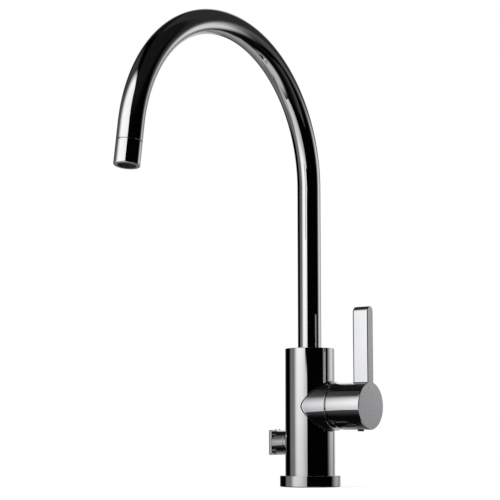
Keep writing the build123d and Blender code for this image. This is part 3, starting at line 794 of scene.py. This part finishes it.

# %% [markdown]
# A thin bead along the seam between column and stub is painted dark: painted shade for the dark
# line that the rounded seam mirrors. It starts as a torus a little wider than the stub, and each of
# its points is then moved out to the column's round wall. The column, the stub, the boss and the
# bead become one piece.

# %% Bead along the seam
bead_ring, bead_thickness = 22.4, 0.55
seam_shade_bead = begin(bpy.ops.mesh.primitive_torus_add, "seam_shade_bead", major_radius=bead_ring * mm,
             minor_radius=bead_thickness * mm, major_segments=256, minor_segments=12,
             rotation=(0, math.pi / 2, 0))
ring = bmesh.from_edit_mesh(seam_shade_bead.data)
for corner in ring.verts:
    round_the_stub = math.atan2(corner.co.z, corner.co.y)
    corner.co.x += math.sqrt(column_radius ** 2 - (bead_ring * math.cos(round_the_stub)) ** 2) * mm
    corner.co.z += hub_height * mm
bmesh.update_edit_mesh(seam_shade_bead.data)
bpy.ops.object.mode_set(mode="OBJECT")
# painted shade: the bead's dark finish stands for the dark line mirrored at the seam
seam_shade_bead.data.materials.append(finishes["painted_seam_shade"])
bead_faces = len(seam_shade_bead.data.polygons)
join(column, stub, boss, seam_shade_bead)
complete(column, "tap_body", ["body_housing"])
# painted shade: the bead's faces get the dark seam finish, for the dark line mirrored at the seam
second_finish(column, "painted_seam_shade", column.data.polygons[-bead_faces:])

# %% [markdown]
# The spout is one bent tube. A circle is extruded up to where the arch begins, spun round the
# arch's centre and extruded once more, and Solidify then gives the shell its wall.

# %% Spout tube
pipe_radius, pipe_wall, pipe_start, pipe_tail = 11, 1.2, 97.3, 14
arch_radius, arch_start, arch_degrees = 129, 277, 172
turn = math.radians(arch_degrees)
pipe = begin(bpy.ops.mesh.primitive_circle_add, "spout_pipe", vertices=128, radius=pipe_radius * mm,
             fill_type="NOTHING", location=(0, 0, pipe_start * mm))
bpy.ops.mesh.select_mode(type="EDGE")
bpy.ops.mesh.select_all(action="SELECT")
push(z=arch_start - pipe_start)
bpy.ops.mesh.spin(steps=arch_degrees, angle=turn, center=(0, -arch_radius * mm, arch_start * mm),
                  axis=(-1, 0, 0))
push(y=-pipe_tail * math.sin(turn), z=pipe_tail * math.cos(turn))
bpy.ops.mesh.select_all(action="SELECT")
bpy.ops.mesh.remove_doubles(threshold=1e-6)
bpy.ops.mesh.normals_make_consistent(inside=False)
bpy.ops.object.mode_set(mode="OBJECT")
skin = pipe.modifiers.new("skin", "SOLIDIFY")
skin.thickness = pipe_wall * mm
skin.offset = -1.0
bpy.ops.object.modifier_apply(modifier=skin.name)
complete(pipe, "spout", ["spout_tube"])

# %% [markdown]
# The outlet sleeve continues the tube past a fine groove. It is modelled upright, with its mouth
# on top, and then turned to the end of the arch. Its rims are rounded, its mouth is turned in to
# a lip, and a spigot at its other end stands in the tube. Inside, the sleeve gets the dark plastic
# finish as painted shade, for the shade deep in the mouth.

# %% Outlet sleeve
arch_end = Vector((0, arch_radius * (math.cos(turn) - 1), arch_start + arch_radius * math.sin(turn)))
outwards = Vector((0, -math.sin(turn), math.cos(turn)))


def at_outlet(distance):
    """A point on the spout's axis, some millimetres past the arch."""
    return (arch_end + distance * outwards) * mm


sleeve_start, sleeve_length, rim_rounding = 14.4, 20.4, 0.9
flat_radius = pipe_radius - rim_rounding
mouth_radius, lip_depth, lip_width, chamber_depth = 7.75, 2.6, 1.6, 15.8
spigot_radius, spigot_length, spigot_wall = 9.75, 8, 1.1
sleeve = cylinder("outlet_sleeve", 192, pipe_radius, 0, sleeve_length)
choose(sleeve, edges=lambda at, edge: is_level(edge, "z"))
soften(rim_rounding, 6)
choose(sleeve, faces=lambda at, normal: normal.z > 0.99 and at.xy.length < 1)
inset(flat_radius - mouth_radius)
push(z=-lip_depth)
inset(-lip_width)
push(z=-chamber_depth)
choose(sleeve, faces=lambda at, normal: normal.z < -0.99 and at.xy.length < 1)
inset(flat_radius - spigot_radius)
push(z=-spigot_length)
inset(spigot_wall)
push(z=spigot_length)
bpy.ops.object.mode_set(mode="OBJECT")
turned_out = outwards.to_track_quat("Z", "X").to_matrix().to_4x4()
sleeve.data.transform(Matrix.Translation(at_outlet(sleeve_start)) @ turned_out)
complete(sleeve, "spout", ["aerator_sleeve"])

# %% [markdown]
# The faces that lie behind the mouth's plane and inside the sleeve's wall get the dark finish:
# painted shade for the recess of the mouth.

# %% Painted shade inside the sleeve
mouth = at_outlet(sleeve_start + sleeve_length)
inner_wall = 9.5
inside = []
for face in sleeve.data.polygons:
    from_mouth = face.center - mouth
    depth = from_mouth.dot(outwards)
    if depth < -0.05 * mm and (from_mouth - depth * outwards).length < inner_wall * mm:
        inside.append(face)
# painted shade: the dark finish on these inner faces stands in for the shade inside the mouth
second_finish(sleeve, "dark_plastic", inside)
print("dark faces:", len(inside))

# %% [markdown]
# The lever is one casting: a round hub lying on its side and a flat bar that rises from it, flush
# with the hub's end face. Both start as cylinders. The bar's is halved, pulled down into the hub
# and rounded at its back, and the two are united.

# %% Hub and bar of the lever
hub_radius, hub_start, hub_end = 21.4, 30.7, 66
hub = cylinder("lever_arm", 256, hub_radius, hub_start, hub_end, height=hub_height)
choose(hub, edges=lambda at, edge: at.x < 31 and is_level(edge, "x"))
soften(0.35, 3)

bar_back, bar_half, bar_round_top, bar_foot = 49.5, 5, 158, 80
bar = cylinder("bar", 96, bar_half, bar_back, hub_end, height=bar_round_top)
bpy.ops.mesh.select_all(action="SELECT")
bpy.ops.mesh.bisect(plane_co=(0, 0, bar_round_top * mm), plane_no=(0, 0, 1), use_fill=True, clear_inner=True)
choose(bar, faces=lambda at, normal: normal.z < -0.99)
push(z=bar_foot - bar_round_top)
bpy.ops.mesh.select_all(action="SELECT")
bpy.ops.mesh.remove_doubles(threshold=1e-7)
bpy.ops.mesh.dissolve_limited(angle_limit=math.radians(0.5))
choose(bar, edges=lambda at, edge: at.x < bar_back + 0.1 and at.z > bar_foot + 0.1)
soften(2.4, 8)
carve(hub, bar, "UNION")
print("lever: top at", bar_round_top + bar_half, "mm")

# %% [markdown]
# The corner where the bar stands on the hub and the outline of the flush end face are rounded, as
# the mould and the polishing leave them. The boolean leaves some stray points and needless edges,
# which are cleared away first, so that the bevel runs evenly.

# %% Rounded edges of the lever
bpy.ops.object.mode_set(mode="EDIT")
bpy.ops.mesh.select_all(action="SELECT")
bpy.ops.mesh.remove_doubles(threshold=2e-6)
bpy.ops.mesh.dissolve_limited(angle_limit=math.radians(0.5))


def is_foot(at, edge):
    """True on the corner where the bar stands on the hub."""
    on_hub = hub_height + 20 < at.z < hub_height + hub_radius + 0.2
    on_bar = bar_back - 0.2 < at.x < hub_end - 0.1 and abs(at.y) < bar_half + 0.1
    return on_hub and on_bar and not edge.is_convex


choose(hub, edges=is_foot)
print("foot edges:", sum(edge.select for edge in bmesh.from_edit_mesh(hub.data).edges))
soften(1.0, 6)
choose(hub, edges=lambda at, edge: at.x > hub_end - 0.01 and edge.calc_face_angle(0) > 0.8)
print("outline edges:", sum(edge.select for edge in bmesh.from_edit_mesh(hub.data).edges))
soften(0.8, 6)

# %% [markdown]
# The hub is hollow where it turns round the ball-shaped cover, and its lower front edge is cut
# away on a slant, so that the lever can tip towards the column. A sphere hollows it out, and one
# slanted bisect, filled again, makes the relief. The flat end face gets the satin finish.

# %% Hollow and relief of the lever
hollow_radius, relief_slope, relief_step = 20.3, math.radians(20), 0.7
hollow = begin(bpy.ops.mesh.primitive_uv_sphere_add, "hollow", segments=128, ring_count=64,
               radius=hollow_radius * mm, location=(hub_start * mm, 0, hub_height * mm))
carve(hub, hollow)
relief_way = Vector((-math.cos(relief_slope), 0.0, -math.sin(relief_slope)))
relief_place = (Vector((hub_start, 0.0, hub_height)) + relief_step * relief_way) * mm
bpy.ops.object.mode_set(mode="EDIT")
bpy.ops.mesh.select_all(action="SELECT")
bpy.ops.mesh.bisect(plane_co=relief_place, plane_no=relief_way, use_fill=True, clear_outer=True)
print("relief: plane through", [round(v, 4) for v in relief_place])
complete(hub, "lever_body", ["lever"])
end_face = [face for face in hub.data.polygons if face.normal.x > 0.99 and face.center.x > (hub_end - 0.1) * mm]
second_finish(hub, "satin_chrome", end_face)

# %% [markdown]
# The knob's collar is a short cylinder with a fine bevel at its end towards the column. It is
# hollow there, where it turns over the column's boss, and it hides the valve's bonnet.

# %% Knob collar
collar_bevel, collar_hollow = 0.3, 8.5
collar = cylinder("knob_ring", 192, knob_radius, -35.6, -23.3, height=knob_height)
choose(collar, edges=lambda at, edge: at.x > -24 and is_level(edge, "x"))
soften(collar_bevel, 3)
choose(collar, faces=lambda at, normal: normal.x > 0.99 and abs(at.y) < 1)
inset(knob_radius - collar_bevel - collar_hollow)
push(x=-4.0)
complete(collar, "stop_valve_knob", ["knob_collar"])

# %% [markdown]
# The square finger plate is a thick, softly rounded tile with two small pips on its upper edge.
# A cube gets its upright corners rounded first, then its outer face, and last its inner edge. The
# pips are smaller cubes with their upper edges rounded.

# %% Knob plate
plate_thickness, plate_side, plate_middle = 3.3, 23, -37.25
plate_outside, plate_inside = plate_middle - plate_thickness / 2, plate_middle + plate_thickness / 2
tile = begin(bpy.ops.mesh.primitive_cube_add, "knob_tile", size=1.0,
             location=(plate_middle * mm, 0, knob_height * mm),
             scale=(plate_thickness * mm, plate_side * mm, plate_side * mm))
choose(tile, edges=lambda at, edge: not is_level(edge, "x"))
soften(1.0, 6)
choose(tile, edges=lambda at, edge: at.x < plate_outside + 0.05 and is_level(edge, "x"))
soften(1.2, 6)
choose(tile, edges=lambda at, edge: at.x > plate_inside - 0.05 and is_level(edge, "x"))
soften(0.3, 3)
pips = []
for side in (-3, 3):
    pip = begin(bpy.ops.mesh.primitive_cube_add, "pip", size=1.0, location=(-36.55 * mm, side * mm, 51.9 * mm),
                scale=(1.3 * mm, 1.4 * mm, 1.4 * mm))
    choose(pip, edges=lambda at, edge: at.z > 51.3)
    soften(0.25, 3)
    pips.append(pip)
join(tile, *pips)
complete(tile, "stop_valve_knob", ["knob_plate"])

# %% [markdown]
# The finished tap has to fill the same box as the loaded one.

# %% Finish
import json
